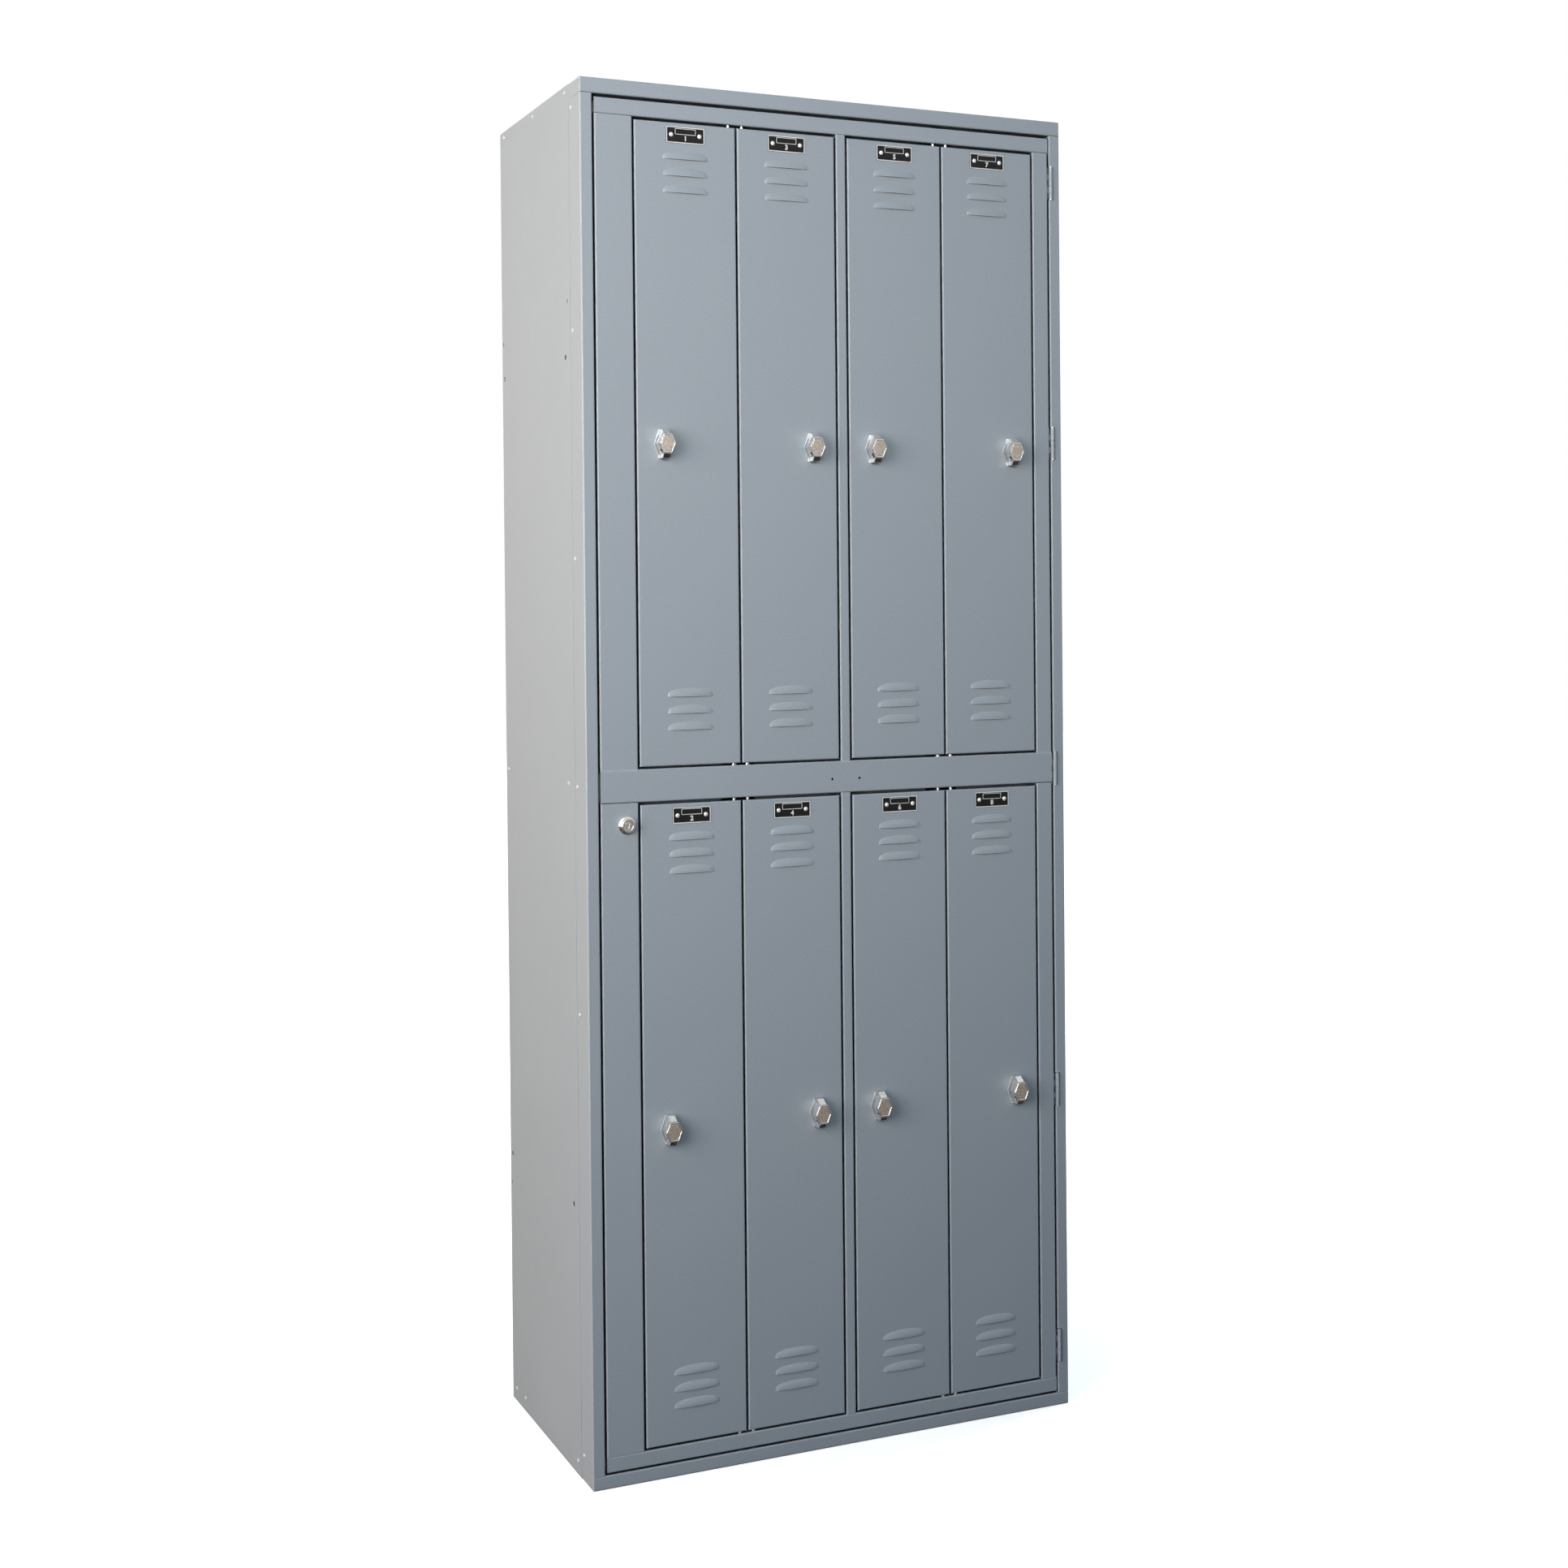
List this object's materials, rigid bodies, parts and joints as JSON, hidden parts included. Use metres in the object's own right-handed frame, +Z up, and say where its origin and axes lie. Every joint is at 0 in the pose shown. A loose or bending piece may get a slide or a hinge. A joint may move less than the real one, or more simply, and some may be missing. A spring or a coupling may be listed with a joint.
{
  "type": "locker cabinet",
  "caption": "Steel locker cabinet with narrow numbered doors, louvres and padlock turn handles, all carried in one full-height gang door on side hinges.",
  "frame": {"origin": "on the floor under the middle of the whole object, handles and rivet heads included", "axes": "+Z up, +X to the right seen from the front, the doors face -Y"},
  "size_m": [0.764, 0.411, 1.95],
  "materials": {
    "painted_steel": "satin powder coat, blue-grey",
    "chrome": "polished",
    "zinc_plate": "bright zinc plate",
    "bright_rivets": "satin",
    "number_plate": "gloss black",
    "rubber": "matt"
  },
  "bodies": {
    "carcass": {"left_side_panel": "painted_steel", "right_side_panel": "painted_steel", "back_panel": "painted_steel", "top_panel": "painted_steel", "floor_panel": "painted_steel", "middle_shelf": "painted_steel", "dividers": "painted_steel", "frame_left_stile": "painted_steel", "frame_right_stile": "painted_steel", "frame_top_rail": "painted_steel", "frame_bottom_rail": "painted_steel", "carcass_rivets": "bright_rivets", "coat_hooks": "zinc_plate", "hinge_frame_leaves": "painted_steel", "hinge_pins": "zinc_plate"},
    "gang_door": {"gang_left_stile": "painted_steel", "gang_right_stile": "painted_steel", "gang_mullions": "painted_steel", "gang_top_rail": "painted_steel", "gang_middle_rail": "painted_steel", "gang_bottom_rail": "painted_steel", "hinge_gang_leaves": "painted_steel", "pivot_pins": "zinc_plate", "door_bumpers": "rubber", "master_lock_housing": "chrome", "master_lock_nut": "zinc_plate"},
    "master_lock": {"master_lock_plug": "chrome", "master_lock_cam": "zinc_plate"},
    "door_1": {"door_1_panel": "painted_steel", "door_1_number_plate": "number_plate", "door_1_hasp_base": "chrome"},
    "latch_1": {"door_1_turn_latch": "chrome"},
    "door_2": {"door_2_panel": "painted_steel", "door_2_number_plate": "number_plate", "door_2_hasp_base": "chrome"},
    "latch_2": {"door_2_turn_latch": "chrome"},
    "door_3": {"door_3_panel": "painted_steel", "door_3_number_plate": "number_plate", "door_3_hasp_base": "chrome"},
    "latch_3": {"door_3_turn_latch": "chrome"},
    "door_4": {"door_4_panel": "painted_steel", "door_4_number_plate": "number_plate", "door_4_hasp_base": "chrome"},
    "latch_4": {"door_4_turn_latch": "chrome"},
    "door_5": {"door_5_panel": "painted_steel", "door_5_number_plate": "number_plate", "door_5_hasp_base": "chrome"},
    "latch_5": {"door_5_turn_latch": "chrome"},
    "door_6": {"door_6_panel": "painted_steel", "door_6_number_plate": "number_plate", "door_6_hasp_base": "chrome"},
    "latch_6": {"door_6_turn_latch": "chrome"},
    "door_7": {"door_7_panel": "painted_steel", "door_7_number_plate": "number_plate", "door_7_hasp_base": "chrome"},
    "latch_7": {"door_7_turn_latch": "chrome"},
    "door_8": {"door_8_panel": "painted_steel", "door_8_number_plate": "number_plate", "door_8_hasp_base": "chrome"},
    "latch_8": {"door_8_turn_latch": "chrome"}
  },
  "joints": [
    {"name": "gang_door_hinge", "type": "hinge", "parent": "carcass", "child": "gang_door", "pos_m": [0.366, -0.185, 0.975], "axis": [0, 0, 1], "range_deg": [0, 120]},
    {"name": "master_lock_turn", "type": "hinge", "parent": "gang_door", "child": "master_lock", "pos_m": [-0.3226, -0.1855, 0.9184], "axis": [0, 1, 0], "range_deg": [0, 90]},
    {"name": "door_1_pivot", "type": "hinge", "parent": "gang_door", "child": "door_1", "pos_m": [-0.1595, -0.18, 1.448], "axis": [0, 0, 1], "range_deg": [0, 75]},
    {"name": "latch_1_turn", "type": "hinge", "parent": "door_1", "child": "latch_1", "pos_m": [-0.2635, -0.1855, 1.448], "axis": [0, 1, 0], "range_deg": [0, 90]},
    {"name": "door_2_pivot", "type": "hinge", "parent": "gang_door", "child": "door_2", "pos_m": [-0.1595, -0.18, 0.496], "axis": [0, 0, 1], "range_deg": [0, 75]},
    {"name": "latch_2_turn", "type": "hinge", "parent": "door_2", "child": "latch_2", "pos_m": [-0.2635, -0.1855, 0.4895], "axis": [0, 1, 0], "range_deg": [0, 90]},
    {"name": "door_3_pivot", "type": "hinge", "parent": "gang_door", "child": "door_3", "pos_m": [-0.1385, -0.18, 1.448], "axis": [0, 0, -1], "range_deg": [0, 75]},
    {"name": "latch_3_turn", "type": "hinge", "parent": "door_3", "child": "latch_3", "pos_m": [-0.0345, -0.1855, 1.448], "axis": [0, -1, 0], "range_deg": [0, 90]},
    {"name": "door_4_pivot", "type": "hinge", "parent": "gang_door", "child": "door_4", "pos_m": [-0.1385, -0.18, 0.496], "axis": [0, 0, -1], "range_deg": [0, 75]},
    {"name": "latch_4_turn", "type": "hinge", "parent": "door_4", "child": "latch_4", "pos_m": [-0.0345, -0.1855, 0.4895], "axis": [0, -1, 0], "range_deg": [0, 90]},
    {"name": "door_5_pivot", "type": "hinge", "parent": "gang_door", "child": "door_5", "pos_m": [0.1675, -0.18, 1.448], "axis": [0, 0, 1], "range_deg": [0, 75]},
    {"name": "latch_5_turn", "type": "hinge", "parent": "door_5", "child": "latch_5", "pos_m": [0.0635, -0.1855, 1.448], "axis": [0, 1, 0], "range_deg": [0, 90]},
    {"name": "door_6_pivot", "type": "hinge", "parent": "gang_door", "child": "door_6", "pos_m": [0.1675, -0.18, 0.496], "axis": [0, 0, 1], "range_deg": [0, 75]},
    {"name": "latch_6_turn", "type": "hinge", "parent": "door_6", "child": "latch_6", "pos_m": [0.0635, -0.1855, 0.4895], "axis": [0, 1, 0], "range_deg": [0, 90]},
    {"name": "door_7_pivot", "type": "hinge", "parent": "gang_door", "child": "door_7", "pos_m": [0.1885, -0.18, 1.448], "axis": [0, 0, -1], "range_deg": [0, 75]},
    {"name": "latch_7_turn", "type": "hinge", "parent": "door_7", "child": "latch_7", "pos_m": [0.2925, -0.1855, 1.448], "axis": [0, -1, 0], "range_deg": [0, 90]},
    {"name": "door_8_pivot", "type": "hinge", "parent": "gang_door", "child": "door_8", "pos_m": [0.1885, -0.18, 0.496], "axis": [0, 0, -1], "range_deg": [0, 75]},
    {"name": "latch_8_turn", "type": "hinge", "parent": "door_8", "child": "latch_8", "pos_m": [0.2925, -0.1855, 0.4895], "axis": [0, -1, 0], "range_deg": [0, 90]}
  ]
}
